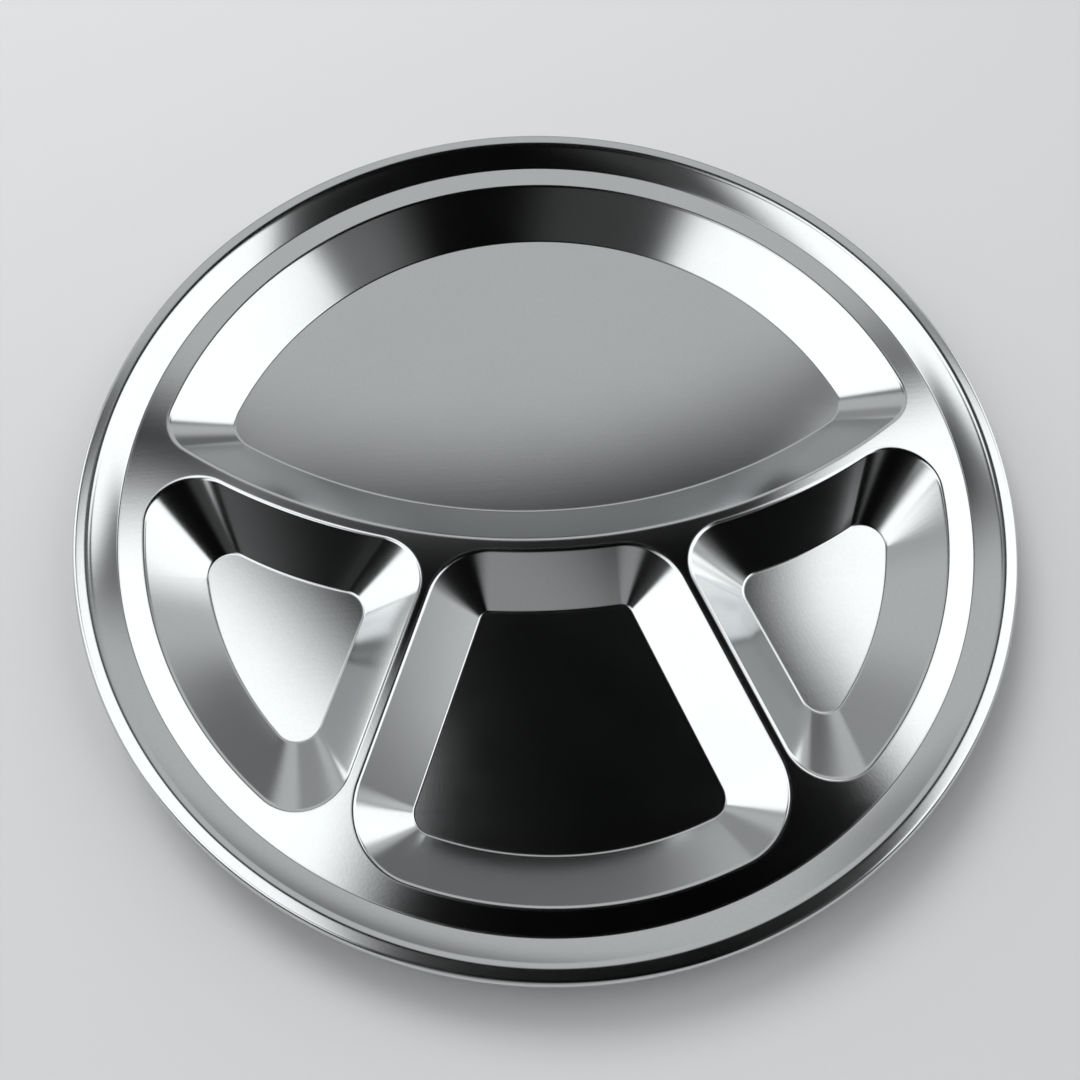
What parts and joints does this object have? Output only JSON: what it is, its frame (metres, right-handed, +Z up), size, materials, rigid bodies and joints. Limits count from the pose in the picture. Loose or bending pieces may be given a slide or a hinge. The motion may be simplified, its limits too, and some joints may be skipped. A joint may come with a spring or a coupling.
{
  "type": "divided compartment plate",
  "caption": "Round pressed stainless-steel plate with a rolled rim, a sloping collar and sloped wells that keep the foods of one meal apart.",
  "frame": {"origin": "on the plate's axis, in the plane of the table that the well floors rest on", "axes": "+Z up, +Y to the back of the plate where the large well is, +X to the right seen from the front"},
  "size_m": [0.26, 0.26, 0.0157],
  "materials": {
    "polished_steel": "bright polished",
    "satin_steel": "fine satin"
  },
  "bodies": {
    "root": {"rolled_rim": "polished_steel", "collar": "polished_steel", "deck": "polished_steel", "main_wall": "polished_steel", "main_floor": "satin_steel", "left_wall": "polished_steel", "left_floor": "satin_steel", "centre_wall": "polished_steel", "centre_floor": "satin_steel", "right_wall": "polished_steel", "right_floor": "satin_steel"}
  },
  "joints": []
}
